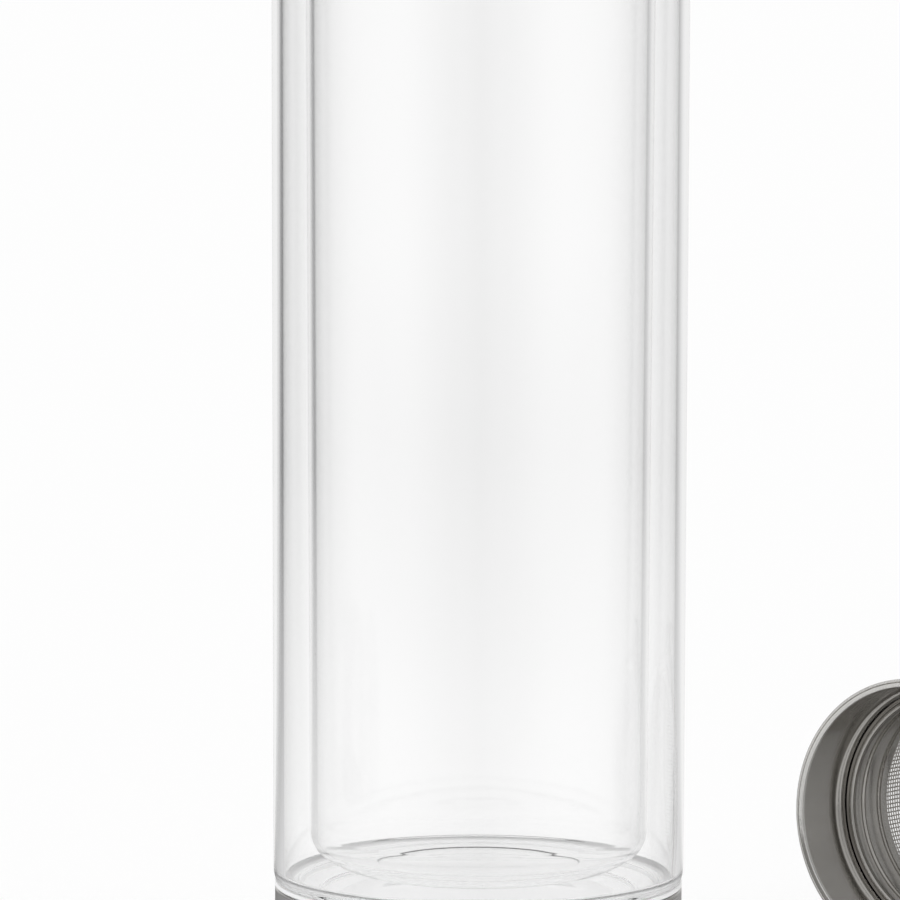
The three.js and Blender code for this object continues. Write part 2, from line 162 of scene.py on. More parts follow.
# Thread of neck and lid
THREAD_LEAD = 8
THREAD_TURNS = 0.75
THREAD_STARTS = 2
THREAD_BASE = 1.9
THREAD_CREST = 0.8
THREAD_DEPTH = 1.2
THREAD_SINK = 0.4  # root of the ridge inside the wall that it grows from
THREAD_FADE = 0.12  # share of its length over which each end fades out
THREAD_END_SHARE = 0.15  # share of its depth that is left at the ends
NECK_THREAD_Z = 197.4
LID_THREAD_Z = 195.4

# Infuser, along its axis from the mouth
INFUSER_LENGTH = 84
SHEET = 0.5
COLLAR_OUTER = 23.5
RIM_OUTER = 24.4
RIM_BEAD = 0.75
RIM_ROLL = 0.27
RIM_LIFT = 0.02
RIM_BACK = 0.4
RIM_GROOVE = ((-0.1, 0.07), (-0.04, 0.14), (0.02, 0.3), (0.06, 0.18))
MOUTH_EDGE = 0.25
MOUTH_EDGE_Z = 0.32
SHOULDER_START = 10.9
SHOULDER_END = 11.9
SHOULDER_INSIDE = ((0.15, 10.62), (0, 10.4))
SHOULDER_ROUND = 0.6
SHOULDER_ROUND_Z = 11.35
SHOULDER_ROUND_END = 262
SKIRT_OUTER = 22.7
SKIRT_END = 24
SKIRT_EDGE = 0.15
BAND_START = 11.9
BAND_LENGTH = 11.4
BAND_OUTER = 21.3
BAND_ROLL = 0.55
BAND_ROLL_OUT = 0.1
BAND_STEP = ((21.8, 0.45), (22, 0.5), (22, 0.9), (BAND_OUTER, 1))
BAND_STRAIGHT = 1.2
BEAD_PLACES = (4, BAND_LENGTH - 2.6)
BEAD_WIDTH = 1.8
BEAD_DEPTH = 0.55
BEAD_STEPS = 12
END_RING_HEIGHT = 7
END_RING_FLANGE = 2.6
END_RING_ROUND = 0.8
END_RING_BEND = 0.4

# Woven mesh of the infuser
MESH_RADIUS = 21.75
MESH_START = 22.7
MESH_END = 82.4
MESH_PITCH = 0.72
WIRE_RADIUS = 0.15
WIRE_SIDES = 3
WIRE_SWING = WIRE_RADIUS * 0.9
END_MESH_RADIUS = 21.7
END_MESH_Z = 83.05

# Where the infuser lies: the middle of its mouth, in metres, and its turn from standing on that mouth
MOUTH = Vector((50.8, 56.7, 24.41)) * MM
INFUSER_TURN = -(math.pi / 2 + math.atan2(RIM_OUTER - SKIRT_OUTER, INFUSER_LENGTH - RIM_BEAD))


def jacket_outer(z):
    return BODY_RADIUS - (JACKET_TOP_Z - z) * JACKET_SLOPE


def jacket_inner(z):
    return jacket_outer(z) - JACKET_WALL


def vessel_outer(z):
    return VESSEL_TOP_R - (FLANGE_Z - z) * VESSEL_SLOPE


BASE_RADIUS = jacket_outer(BASE_TOP_Z) - BASE_STEP
BASE_INNER = BASE_RADIUS - BASE_WALL
FOOT_RECESS = BASE_RADIUS - FOOT_MARGIN
FOOT_RECESS_Z = FOOT_THICKNESS + GAP
SHOULDER_Z = BASE_TOP_Z + GAP + CUSHION_LIP + GAP
GASKET_Z = NECK_TOP_Z + GAP
LINER_PLATE_Z = GASKET_Z + GASKET_THICKNESS + GAP
INSULATION_Z = LINER_PLATE_Z + LINER_PLATE + GAP


# Profiles: points of (radius, height), counter-clockwise round the section

def arc(radius, height, width, rise, start, end, points=CORNER_POINTS):
    angles = [math.radians(start + (end - start) * i / points) for i in range(points + 1)]
    return [(radius + width * math.cos(a), height + rise * math.sin(a)) for a in angles]


def rounded(radius, height, size, start, end):
    return arc(radius, height, size, size, start, end, EDGE_POINTS)


def straight(start, end):
    """Points on a straight wall, close together at its ends so that the corners' shading stays there."""
    return [tuple(a + (b - a) * share for a, b in zip(start, end)) for share in WALL_SHARES]


def with_walls(*runs):
    """Joins runs of profile points, and puts wall points on each straight between them."""
    profile = list(runs[0])
    for run in runs[1:]:
        profile += straight(profile[-1], run[0]) + list(run)
    return profile


def ring_section(inner, outer, low, high, size):
    """Flat ring with rounded edges."""
    return with_walls(
        rounded(inner + size, low + size, size, 180, 270),
        rounded(outer - size, low + size, size, -90, 0),
        rounded(outer - size, high - size, size, 0, 90),
        rounded(inner + size, high - size, size, 90, 180),
    )


def disc_section(outer, low, high, size):
    """Flat disc with rounded edges."""
    return with_walls(
        [(0, low)],
        rounded(outer - size, low + size, size, -90, 0),
        rounded(outer - size, high - size, size, 0, 90),
        [(0, high)],
    )


def dished_floor(wall, low, flat, dish, corner):
    """Floor of a cup from its flat middle outwards: a shallow dish, then the corner up to the wall."""
    across = wall - corner - flat
    down = math.sqrt((dish - corner) ** 2 - across ** 2)
    meet = math.degrees(math.atan2(across, down))
    corner_z = low + dish - down
    return (
        arc(flat, low + dish, dish, dish, -90, meet - 90, 2 * CORNER_POINTS)
        + arc(wall - corner, corner_z, corner, corner, meet - 90, 0, 2 * CORNER_POINTS)[1:]
    )


def level_at(profile, radius):
    """Height of a profile that runs outwards, at the radius."""
    pairs = zip(profile, profile[1:])
    (r0, z0), (r1, z1) = next(pair for pair in pairs if pair[0][0] <= radius <= pair[1][0])
    return z0 + (z1 - z0) * (radius - r0) / (r1 - r0)


def ridged(profile, radii, half_width, height):
    """The profile with low rounded rings raised on it at the radii."""
    points = [point for point in profile if all(abs(point[0] - ring) > half_width for ring in radii)]
    for ring in radii:
        for step in range(-EDGE_POINTS, EDGE_POINTS + 1):
            radius = ring + half_width * step / EDGE_POINTS
            rise = height * math.cos(math.pi * step / EDGE_POINTS / 2)
            points.append((radius, level_at(profile, radius) + rise))
    return sorted(points)


def channelled(profile, channels, depth):
    """The profile with flat-bottomed channels sunk into it, each from one radius to another."""
    points = [point for point in profile if not any(start <= point[0] <= end for start, end in channels)]
    for start, end in channels:
        sides = ((start, 0), (start + CHANNEL_SIDE, depth), (end - CHANNEL_SIDE, depth), (end, 0))
        points += [(radius, level_at(profile, radius) - sunk) for radius, sunk in sides]
    return sorted(points)


# Flask pieces

def foot_dish(top, inset):
    """Underside of the jacket's dish from its flat middle up to top, set into the floor by the inset."""
    middle = JACKET_FLOOR_Z + JACKET_DISH
    radius = middle - JACKET_FOOT_Z - inset
    end = math.degrees(math.acos((middle - top) / radius))
    return arc(FLOOR_FLAT, middle, radius, radius, -90, end - 90, 2 * CORNER_POINTS)


def outer_jacket():
    corner_r = jacket_outer(JACKET_CORNER_Z) - JACKET_CORNER
    corner_inside = jacket_inner(JACKET_CORNER_Z)
    inside = dished_floor(corner_inside, JACKET_FLOOR_Z, FLOOR_FLAT, JACKET_DISH, JACKET_CORNER)
    inside = ridged(inside, JACKET_RINGS, RING_HALF_WIDTH, RING_HEIGHT)
    inside_rim_r = jacket_inner(JACKET_TOP_Z) + JACKET_RIM_INSIDE
    return with_walls(
        [(0, JACKET_FOOT_Z)],
        foot_dish(SHOULDER_Z, 0),
        arc(corner_r, JACKET_CORNER_Z, JACKET_CORNER, JACKET_CORNER_Z - SHOULDER_Z, -90, 0),
        rounded(BODY_RADIUS - JACKET_RIM, JACKET_TOP_Z - JACKET_RIM, JACKET_RIM, 0, 90),
        rounded(inside_rim_r, JACKET_TOP_Z - JACKET_RIM_INSIDE, JACKET_RIM_INSIDE, 90, 180),
        inside[::-1],
        [(0, JACKET_FLOOR_Z)],
    )


def inner_vessel():
    """Cup with a disc sunk in the middle of its floor, and a flange whose lip hangs inside the jacket."""
    wall = vessel_outer(VESSEL_FOOT_Z)
    outside = dished_floor(wall, VESSEL_FOOT_Z, VESSEL_FLAT, VESSEL_DISH, VESSEL_CORNER)
    inner_dish = VESSEL_DISH - VESSEL_FLOOR
    inner_corner = VESSEL_CORNER - VESSEL_WALL
    inside = dished_floor(wall - VESSEL_WALL, VESSEL_FLOOR_Z, VESSEL_FLAT, inner_dish, inner_corner)
    disc = [(0, DISC_DEPTH)] + [(VESSEL_FLAT - inwards, depth) for inwards, depth in DISC_EDGE]
    lip = BODY_RADIUS - JACKET_WALL - GAP
    lip_inner = lip - FLANGE_LIP_WALL
    lip_z = FLANGE_Z - FLANGE_LIP_DEPTH
    mouth = vessel_outer(FLANGE_TOP_Z) - VESSEL_WALL
    return with_walls(
        [(0, VESSEL_FOOT_Z)] + outside,
        [(VESSEL_TOP_R, FLANGE_Z)],
        [(lip_inner, FLANGE_Z)],
        rounded(lip_inner + EDGE, lip_z + EDGE, EDGE, 180, 270),
        rounded(lip - EDGE, lip_z + EDGE, EDGE, -90, 0),
        [(lip, FLANGE_Z)],
        rounded(BODY_RADIUS - EDGE, FLANGE_Z + EDGE, EDGE, -90, 0),
        rounded(BODY_RADIUS - EDGE, FLANGE_TOP_Z - EDGE, EDGE, 0, 90),
        rounded(mouth + VESSEL_MOUTH_EDGE, FLANGE_TOP_Z - VESSEL_MOUTH_EDGE, VESSEL_MOUTH_EDGE, 90, 180),
        inside[::-1] + [(radius, VESSEL_FLOOR_Z - depth) for radius, depth in reversed(disc)],
    )


def neck_collar():
    """Spigot inside the vessel, collar over the seal, and the neck with the infuser's ledge in its rim."""
    spigot = VESSEL_TOP_R - VESSEL_WALL - GAP
    spigot_z = COLLAR_Z - SPIGOT_DEPTH
    recess = BODY_RADIUS - COLLAR_LIP
    recess_z = COLLAR_Z + SEAL_THICKNESS + GAP
    ledge_z = NECK_TOP_Z - 2 * RIM_BEAD - GAP
    return with_walls(
        rounded(NECK_BORE + SPIGOT_EDGE, spigot_z + SPIGOT_EDGE, SPIGOT_EDGE, 180, 270),
        rounded(spigot - SPIGOT_EDGE, spigot_z + SPIGOT_EDGE, SPIGOT_EDGE, -90, 0),
        [(spigot, recess_z)],
        [(recess, recess_z)],
        [(recess, COLLAR_Z)],
        rounded(BODY_RADIUS - EDGE, COLLAR_Z + EDGE, EDGE, -90, 0),
        rounded(BODY_RADIUS - EDGE, COLLAR_TOP_Z - EDGE, EDGE, 0, 90),
        rounded(NECK_OUTER + NECK_RIM, COLLAR_TOP_Z + NECK_RIM, NECK_RIM, 270, 180),
        rounded(NECK_OUTER - NECK_RIM, NECK_TOP_Z - NECK_RIM, NECK_RIM, 0, 90),
        rounded(NECK_SEAT + EDGE, NECK_TOP_Z - EDGE, EDGE, 90, 180),
        [(NECK_SEAT, ledge_z)],
        rounded(NECK_BORE + EDGE, ledge_z - EDGE, EDGE, 90, 180),
    )


def neck_seal():
    inner = VESSEL_TOP_R - VESSEL_WALL
    return ring_section(inner, BODY_RADIUS - SEAL_MARGIN, COLLAR_Z, COLLAR_Z + SEAL_THICKNESS, SEAL_EDGE)


def base_shell():
    """Drawn cup with a rolled top edge and a recess for the foot pressed into its floor."""
    corner_r = BASE_RADIUS - BASE_CORNER
    corner_z = BASE_LIFT + BASE_CORNER
    inner_corner = BASE_CORNER - BASE_WALL
    rim = BASE_WALL / 2
    recess_inner = FOOT_RECESS + BASE_WALL
    recess_top = FOOT_RECESS_Z + BASE_WALL
    return with_walls(
        [(0, FOOT_RECESS_Z)],
        rounded(FOOT_RECESS - BASE_BEND, FOOT_RECESS_Z - BASE_BEND, BASE_BEND, 90, 0),
        rounded(FOOT_RECESS + SHEET_EDGE, BASE_LIFT + SHEET_EDGE, SHEET_EDGE, 180, 270),
        arc(corner_r, corner_z, BASE_CORNER, BASE_CORNER, -90, 0),
        arc(BASE_RADIUS - rim, BASE_TOP_Z - rim, rim, rim, 0, 180),
        arc(corner_r, corner_z, inner_corner, inner_corner, 0, -90),
        [(recess_inner, BASE_LIFT + BASE_WALL)],
        rounded(recess_inner - BASE_BEND, recess_top - BASE_BEND, BASE_BEND, 0, 90),
        [(0, recess_top)],
    )


def base_cushion():
    """White cup under the clear foot. Air in the channels of its seat shows as rings through the floor."""
    low = FOOT_RECESS_Z + BASE_WALL + GAP
    outer = BASE_INNER - GAP
    lip_z = BASE_TOP_Z + GAP
    seat_top = SHOULDER_Z + CONTACT
    lip_r = BASE_RADIUS - CUSHION_EDGE
    return with_walls(
        [(0, low)],
        arc(outer - CUSHION_CORNER, low + CUSHION_CORNER, CUSHION_CORNER, CUSHION_CORNER, -90, 0),
        [(outer, lip_z)],
        rounded(lip_r, lip_z + CUSHION_EDGE, CUSHION_EDGE, -90, 0),
        rounded(lip_r, seat_top - CUSHION_EDGE, CUSHION_EDGE, 0, 90),
        channelled(foot_dish(seat_top, CONTACT), SEAT_CHANNELS, SEAT_CHANNEL_DEPTH)[::-1],
        [(0, JACKET_FOOT_Z + CONTACT)],
    )


def foot_pad():
    """Disc with three shallow grooves in its underside."""
    outer = FOOT_RECESS - GAP
    underside = [(0, 0)]
    for groove in FOOT_GROOVES:
        underside += arc(groove, 0, GROOVE_HALF_WIDTH, GROOVE_DEPTH, 180, 0, EDGE_POINTS)
    return with_walls(
        underside,
        rounded(outer - FOOT_EDGE, FOOT_EDGE, FOOT_EDGE, -90, 0),
        rounded(outer - FOOT_TOP_EDGE, FOOT_THICKNESS - FOOT_TOP_EDGE, FOOT_TOP_EDGE, 0, 90),
        [(0, FOOT_THICKNESS)],
    )


# Lid pieces

def lid_shell():
    inner_edge = LID_EDGE - LID_WALL
    edge_r = LID_RADIUS - LID_EDGE
    edge_z = LID_TOP_Z - LID_EDGE
    return with_walls(
        [(0, LID_TOP_Z - LID_WALL)],
        arc(edge_r, edge_z, inner_edge, inner_edge, 90, 0),
        rounded(LID_RADIUS - LID_WALL + SHEET_EDGE, LID_BOTTOM_Z + SHEET_EDGE, SHEET_EDGE, 180, 270),
        rounded(LID_RADIUS - EDGE, LID_BOTTOM_Z + EDGE, EDGE, -90, 0),
        arc(edge_r, edge_z, LID_EDGE, LID_EDGE, 0, 90),
        [(0, LID_TOP_Z)],
    )


def lid_liner():
    """Plate with a boss for the infuser's mouth, and a threaded skirt that ends in a flange."""
    outer = LID_RADIUS - LID_WALL - GAP
    low = LID_BOTTOM_Z + GAP
    plate_top = LINER_PLATE_Z + LINER_PLATE
    boss = COLLAR_OUTER - SHEET - GAP
    boss_inner = boss - LINER_BOSS_WALL
    boss_z = NECK_TOP_Z + GAP
    skirt = LINER_INNER + LINER_WALL
    flange_top = low + LINER_FLANGE
    return with_walls(
        [(0, LINER_PLATE_Z)],
        [(boss_inner, LINER_PLATE_Z)],
        rounded(boss_inner + EDGE, boss_z + EDGE, EDGE, 180, 270),
        rounded(boss - EDGE, boss_z + EDGE, EDGE, -90, 0),
        [(boss, LINER_PLATE_Z)],
        [(LINER_INNER, LINER_PLATE_Z)],
        rounded(LINER_INNER + LINER_MOUTH_EDGE, low + LINER_MOUTH_EDGE, LINER_MOUTH_EDGE, 180, 270),
        rounded(outer - EDGE, low + EDGE, EDGE, -90, 0),
        rounded(outer - EDGE, flange_top - EDGE, EDGE, 0, 90),
        [(skirt, flange_top)],
        [(skirt, LINER_PLATE_Z)],
        rounded(outer - EDGE, LINER_PLATE_Z + EDGE, EDGE, -90, 0),
        rounded(outer - EDGE, plate_top - EDGE, EDGE, 0, 90),
        [(0, plate_top)],
    )


def lid_insulation():
    outer = LID_RADIUS - LID_WALL - LID_EDGE
    return disc_section(outer, INSULATION_Z, INSULATION_Z + INSULATION_THICKNESS, INSULATION_EDGE)


def lid_gasket():
    return ring_section(GASKET_INNER, GASKET_OUTER, GASKET_Z, GASKET_Z + GASKET_THICKNESS, GASKET_EDGE)


# Infuser pieces, turned upright about Z with the mouth at 0

def infuser_collar():
    """Flat lip with a groove beside its rolled edge, straight mouth, rounded shoulder and skirt."""
    inner = COLLAR_OUTER - SHEET
    skirt_inner = SKIRT_OUTER - SHEET
    shoulder_r = skirt_inner + SHOULDER_ROUND
    roll_r = RIM_OUTER - RIM_ROLL
    groove_r = roll_r - RIM_ROLL
    groove = [(groove_r + across, depth) for across, depth in RIM_GROOVE]
    return with_walls(
        rounded(inner + MOUTH_EDGE, MOUTH_EDGE_Z, MOUTH_EDGE, 180, 270),
        groove + arc(roll_r, RIM_ROLL + RIM_LIFT, RIM_ROLL, RIM_ROLL, -140, 0),
        rounded(RIM_OUTER - RIM_BACK, 2 * RIM_BEAD - RIM_BACK, RIM_BACK, 0, 90),
        [(COLLAR_OUTER, 2 * RIM_BEAD), (COLLAR_OUTER, SHOULDER_START)],
        [(SKIRT_OUTER, SHOULDER_END)],
        rounded(SKIRT_OUTER - SKIRT_EDGE, SKIRT_END - SKIRT_EDGE, SKIRT_EDGE, 0, 90),
        [(skirt_inner, SKIRT_END)],
        arc(shoulder_r, SHOULDER_ROUND_Z, SHOULDER_ROUND, SHOULDER_ROUND, 180, SHOULDER_ROUND_END),
        [(inner - inwards, along) for inwards, along in SHOULDER_INSIDE],
        [(inner, RIM_BEAD)],
    )


def infuser_clamp_band():
    """Band with a rolled front edge, a step behind it, and two beads pressed inwards."""
    places = [(BAND_STRAIGHT, 0)]
    for middle in BEAD_PLACES:
        for step in range(BEAD_STEPS + 1):
            share = step / BEAD_STEPS
            dip = BEAD_DEPTH * (1 - math.cos(TURN * share)) / 2
            places.append((middle + BEAD_WIDTH * (share - 0.5), dip))
    places.append((BAND_LENGTH, 0))
    roll_r = BAND_OUTER - SHEET + BAND_ROLL_OUT
    front = arc(roll_r, BAND_START + BAND_ROLL, BAND_ROLL, BAND_ROLL, 190, 350)
    step_behind = [(radius, BAND_START + along) for radius, along in BAND_STEP]
    outside = [(BAND_OUTER - dip, BAND_START + along) for along, dip in places]
    inside = [(BAND_OUTER - SHEET - dip, BAND_START + along) for along, dip in places]
    return front + step_behind + outside + inside[::-1]


def infuser_end_ring():
    low = INFUSER_LENGTH - END_RING_HEIGHT
    inner = SKIRT_OUTER - SHEET
    flange = SKIRT_OUTER - END_RING_FLANGE
    flange_z = INFUSER_LENGTH - SHEET
    return with_walls(
        [(inner, low)],
        rounded(SKIRT_OUTER - SHEET_EDGE, low + SHEET_EDGE, SHEET_EDGE, -90, 0),
        rounded(SKIRT_OUTER - END_RING_ROUND, INFUSER_LENGTH - END_RING_ROUND, END_RING_ROUND, 0, 90),
        rounded(flange + SHEET_EDGE, INFUSER_LENGTH - SHEET_EDGE, SHEET_EDGE, 90, 180),
        [(flange, flange_z)],
        rounded(inner - END_RING_BEND, flange_z - END_RING_BEND, END_RING_BEND, 90, 0),
    )


# Modelling, with the active piece in edit mode

def start_piece(name):
    bpy.ops.object.select_all(action="DESELECT")
    bpy.ops.mesh.primitive_plane_add(size=MM)
    piece = bpy.context.active_object
    piece.name = name
    piece.data.name = name
    bpy.ops.object.mode_set(mode="EDIT")
    bpy.context.tool_settings.mesh_select_mode = (True, False, False)
    return piece


def select_whole():
    bpy.ops.mesh.select_all(action="SELECT")


def merge_whole():
    select_whole()
    bpy.ops.mesh.remove_doubles(threshold=MERGE_DISTANCE)


def select_by(piece, wanted):
    """Selects the vertices of the piece in edit mode for which wanted(place) holds."""
    bpy.ops.object.mode_set(mode="OBJECT")
    for vertex in piece.data.vertices:
        vertex.select = wanted(vertex.co)
    bpy.ops.object.mode_set(mode="EDIT")


def draw_profile(profile):
    """Shrinks the new plane to the profile's first point and extrudes that along the others."""
    points = [Vector((radius, 0, height)) * MM for radius, height in profile]
    select_whole()
    bpy.ops.mesh.merge(type="CENTER")
    bpy.ops.transform.translate(value=points[0])
    for here, there in zip(points, points[1:]):
        bpy.ops.mesh.extrude_region_move(TRANSFORM_OT_translate={"value": there - here})
    merge_whole()


def spin_whole(steps, angle=TURN, copies=False):
    select_whole()
    bpy.ops.mesh.spin(steps=steps, dupli=copies, angle=angle, center=(0, 0, 0), axis=(0, 0, 1))


def copy_whole(offset):
    """Copies the whole mesh and leaves only the copy selected."""
    select_whole()
    bpy.ops.mesh.duplicate_move(TRANSFORM_OT_translate={"value": offset})


def close_and_smooth(piece, angle=SMOOTH_ANGLE):
    merge_whole()
    bpy.ops.mesh.normals_make_consistent(inside=False)
    bpy.ops.object.mode_set(mode="OBJECT")
    bpy.ops.object.shade_smooth_by_angle(angle=angle)
    return piece


def select_only(pieces, active):
    bpy.ops.object.select_all(action="DESELECT")
    for piece in pieces:
        piece.select_set(True)
    bpy.context.view_layer.objects.active = active


def join_to(piece, others):
    select_only([piece, *others], piece)
    bpy.ops.object.join()
    return piece


def repeat_rows(piece, count, offset):
    rows = piece.modifiers.new("rows", "ARRAY")
    rows.count = count
    rows.use_relative_offset = False
    rows.use_constant_offset = True
    rows.constant_offset_displace = offset
    bpy.ops.object.modifier_apply(modifier="rows")


def turned_piece(name, profile, steps):
    """One closed piece: its profile drawn in the XZ plane and spun once about Z."""
    piece = start_piece(name)
    is_ring = profile[0][0] > 0
    draw_profile(profile + profile[:1] if is_ring else profile)
    spin_whole(steps)
    return close_and_smooth(piece)


def thread_ridge(root, crest, start_z, start_angle):
    """One start of a thread: a four-cornered section screwed up about Z, its ends faded into the wall."""
    piece = start_piece("thread")
    base = THREAD_BASE / 2
    top = THREAD_CREST / 2
    section = [(root, -base), (crest, -top), (crest, top), (root, base)]
    draw_profile(section + section[:1])
    bpy.ops.object.mode_set(mode="OBJECT")
    screw = piece.modifiers.new("screw", "SCREW")
    screw.angle = THREAD_TURNS * TURN
    screw.screw_offset = THREAD_TURNS * THREAD_LEAD * MM
    screw.steps = screw.render_steps = round(PLASTIC_STEPS * THREAD_TURNS)
    bpy.ops.object.modifier_apply(modifier="screw")
    for vertex in piece.data.vertices:
        angle = math.atan2(vertex.co.y, vertex.co.x) % TURN
        # A first point that lies a hair before angle 0 comes out near a whole turn
        if angle > (THREAD_TURNS + 1) / 2 * TURN:
            angle = 0
        share = min(angle / (THREAD_TURNS * TURN), 1)
        depth_share = max(min(1, share / THREAD_FADE, (1 - share) / THREAD_FADE), THREAD_END_SHARE)
        radius = math.hypot(vertex.co.x, vertex.co.y)
        faded = root * MM + (radius - root * MM) * depth_share
        vertex.co.x *= faded / radius
        vertex.co.y *= faded / radius
    piece.rotation_euler.z = start_angle
    piece.location.z = start_z * MM
    bpy.ops.object.transform_apply(location=True, rotation=True, scale=False)
    bpy.ops.object.mode_set(mode="EDIT")
    select_whole()
    bpy.ops.mesh.fill_holes(sides=len(section))
    return close_and_smooth(piece)


def add_threads(piece, root, crest, start_z):
    angles = [start * TURN / THREAD_STARTS for start in range(THREAD_STARTS)]
    join_to(piece, [thread_ridge(root, crest, start_z, angle) for angle in angles])


def start_wire(place, turn=(0, 0, 0)):
    """Empties the new piece and sets the three-sided end of a wire at the place."""
    select_whole()
    bpy.ops.mesh.delete(type="VERT")
    bpy.ops.mesh.primitive_circle_add(
        vertices=WIRE_SIDES, radius=WIRE_RADIUS * MM, fill_type="NGON",
        rotation=turn, location=Vector(place) * MM,
    )


def draw_wire(steps, along, sway):
    """Extrudes the wire in steps that swing to one side and back."""
    for step in range(steps):
        swing = sway if step % 2 == 0 else -sway
        bpy.ops.mesh.extrude_region_move(TRANSFORM_OT_translate={"value": (along + swing) * MM})


def woven_sleeve(name, first, last):
    """Plain weave on a cylinder: rings and straight wires that pass over and under each other."""
    wires = 2 * round(math.pi * MESH_RADIUS / MESH_PITCH)
    rows = 2 * round((last - first) / MESH_PITCH / 2)
    pitch = (last - first) / rows
    step = TURN / wires
    outer = MESH_RADIUS + WIRE_SWING
    inner = MESH_RADIUS - WIRE_SWING
    up = Vector((0, 0, pitch))

    rings = start_piece(name)
    corners = [side * TURN / WIRE_SIDES for side in range(WIRE_SIDES)]
    section = [(outer + WIRE_RADIUS * math.cos(a), first + WIRE_RADIUS * math.sin(a)) for a in corners]
    draw_profile(section + section[:1])
    spin_whole(wires)
    merge_whole()
    select_by(rings, lambda place: round(math.atan2(place.y, place.x) / step) % 2 == 1)
    bpy.ops.transform.resize(value=(inner / outer, inner / outer, 1), center_override=(0, 0, 0))
    copy_whole(up * MM)
    bpy.ops.transform.rotate(value=step, orient_axis="Z", center_override=(0, 0, 0))
    close_and_smooth(rings, math.pi)
    repeat_rows(rings, rows // 2, 2 * up * MM)

    straights = start_piece("straights")
    start_wire((inner, 0, first))
    draw_wire(rows - 1, up, Vector((2 * WIRE_SWING, 0, 0)))
    copy_whole(up * MM)
    bpy.ops.transform.rotate(value=step, orient_axis="Z", center_override=(0, 0, 0))
    pairs = wires // 2
    spin_whole(pairs - 1, TURN * (pairs - 1) / pairs, copies=True)
    close_and_smooth(straights, WIRE_SMOOTH_ANGLE)
    return join_to(rings, [straights])


def woven_disc(name, radius, height):
    """Flat plain weave, trimmed to a disc."""
    count = 4 * round(radius / MESH_PITCH / 2)
    pitch = 2 * radius / count
    middle = (0, 0, height * MM)
    cloth = start_piece(name)
    start_wire((-radius, -radius, height - WIRE_SWING), (0, math.pi / 2, 0))
    draw_wire(count, Vector((pitch, 0, 0)), Vector((0, 0, 2 * WIRE_SWING)))
    copy_whole(Vector((-pitch, pitch, 0)) * MM)
    close_and_smooth(cloth, WIRE_SMOOTH_ANGLE)
    repeat_rows(cloth, count // 2, (0, 2 * pitch * MM, 0))
    bpy.ops.object.mode_set(mode="EDIT")
    copy_whole((0, 0, 0))
    bpy.ops.transform.rotate(value=math.pi / 2, orient_axis="Z", center_override=middle)
    bpy.ops.transform.mirror(
        orient_type="GLOBAL", constraint_axis=(False, False, True), center_override=middle
    )
    select_by(cloth, lambda place: math.hypot(place.x, place.y) > radius * MM)
    bpy.ops.mesh.delete(type="VERT")
    select_whole()
    bpy.ops.mesh.fill_holes(sides=WIRE_SIDES + 1)
    select_whole()
    bpy.ops.mesh.normals_make_consistent(inside=False)
    bpy.ops.object.mode_set(mode="OBJECT")
    return cloth


def lay_down(piece):
    """Brings an infuser piece, turned upright with its mouth at the origin, to where the infuser lies."""
    select_only([piece], piece)
    piece.rotation_euler.x = INFUSER_TURN
    piece.location = MOUTH
    bpy.ops.object.transform_apply(location=True, rotation=True, scale=False)
    return piece


# Nodes

WHITE = (1, 1, 1, 1)

# Colour sockets of a Mix node by number, because its other sockets have the same names
MIX_FIRST = 6
MIX_SECOND = 7
MIX_RESULT = 2


def node(tree, kind, values=(), links=(), **settings):
    """One node: settings are its properties, values and links its inputs by name or number."""
    made = tree.nodes.new(kind)
    for name, value in settings.items():
        setattr(made, name, value)
    for name, value in values:
        made.inputs[name].default_value = value
    for name, source in links:
        tree.links.new(source, made.inputs[name])
    return made


def math_node(tree, operation, first, second, clamp=False):
    """Result of an operation on two inputs, each a socket or a plain number."""
    made = node(tree, "ShaderNodeMath", operation=operation, use_clamp=clamp)
    for slot, value in enumerate((first, second)):
        if isinstance(value, (int, float)):
            made.inputs[slot].default_value = value
        else:
            tree.links.new(value, made.inputs[slot])
    return made.outputs[0]


def mix_colour(tree, share, first, second, blend_type="MIX"):
    """Mix of two colours, each a socket or a plain colour."""
    made = node(tree, "ShaderNodeMix", links=[(0, share)], data_type="RGBA", blend_type=blend_type)
    for slot, colour in ((MIX_FIRST, first), (MIX_SECOND, second)):
        if isinstance(colour, tuple):
            made.inputs[slot].default_value = colour
        else:
            tree.links.new(colour, made.inputs[slot])
    return made.outputs[MIX_RESULT]


def mix_shader(tree, share, first, second):
    links = [(0, share), (1, first.outputs[0]), (2, second.outputs[0])]
    return node(tree, "ShaderNodeMixShader", links=links)


def remap(tree, source, start, end, low=0.0, high=1.0):
    """The source, brought from start and end to low and high, and held between them."""
    values = [("From Min", start), ("From Max", end), ("To Min", low), ("To Max", high)]
    return node(tree, "ShaderNodeMapRange", values, [("Value", source)], clamp=True).outputs[0]


def ramp_node(tree, source, stops):
    """Grey tones over the source, by stops of (position, tone)."""
    made = node(tree, "ShaderNodeValToRGB", links=[("Fac", source)])
    elements = made.color_ramp.elements
    while len(elements) > 1:
        elements.remove(elements[-1])
    elements[0].position, tone = stops[0]
    elements[0].color = (tone, tone, tone, 1)
    for position, tone in stops[1:]:
        elements.new(position).color = (tone, tone, tone, 1)
    return made.outputs["Color"]


def object_place(tree):
    return node(tree, "ShaderNodeTexCoord").outputs["Object"]


def infuser_place(tree):
    """Object coordinates brought back to the infuser's own axis, along Z from its mouth."""
    mapping = node(
        tree, "ShaderNodeMapping", [("Location", MOUTH), ("Rotation", (INFUSER_TURN, 0, 0))],
        [("Vector", object_place(tree))], vector_type="TEXTURE",
    )
    return mapping.outputs["Vector"]


# Effects that several materials share

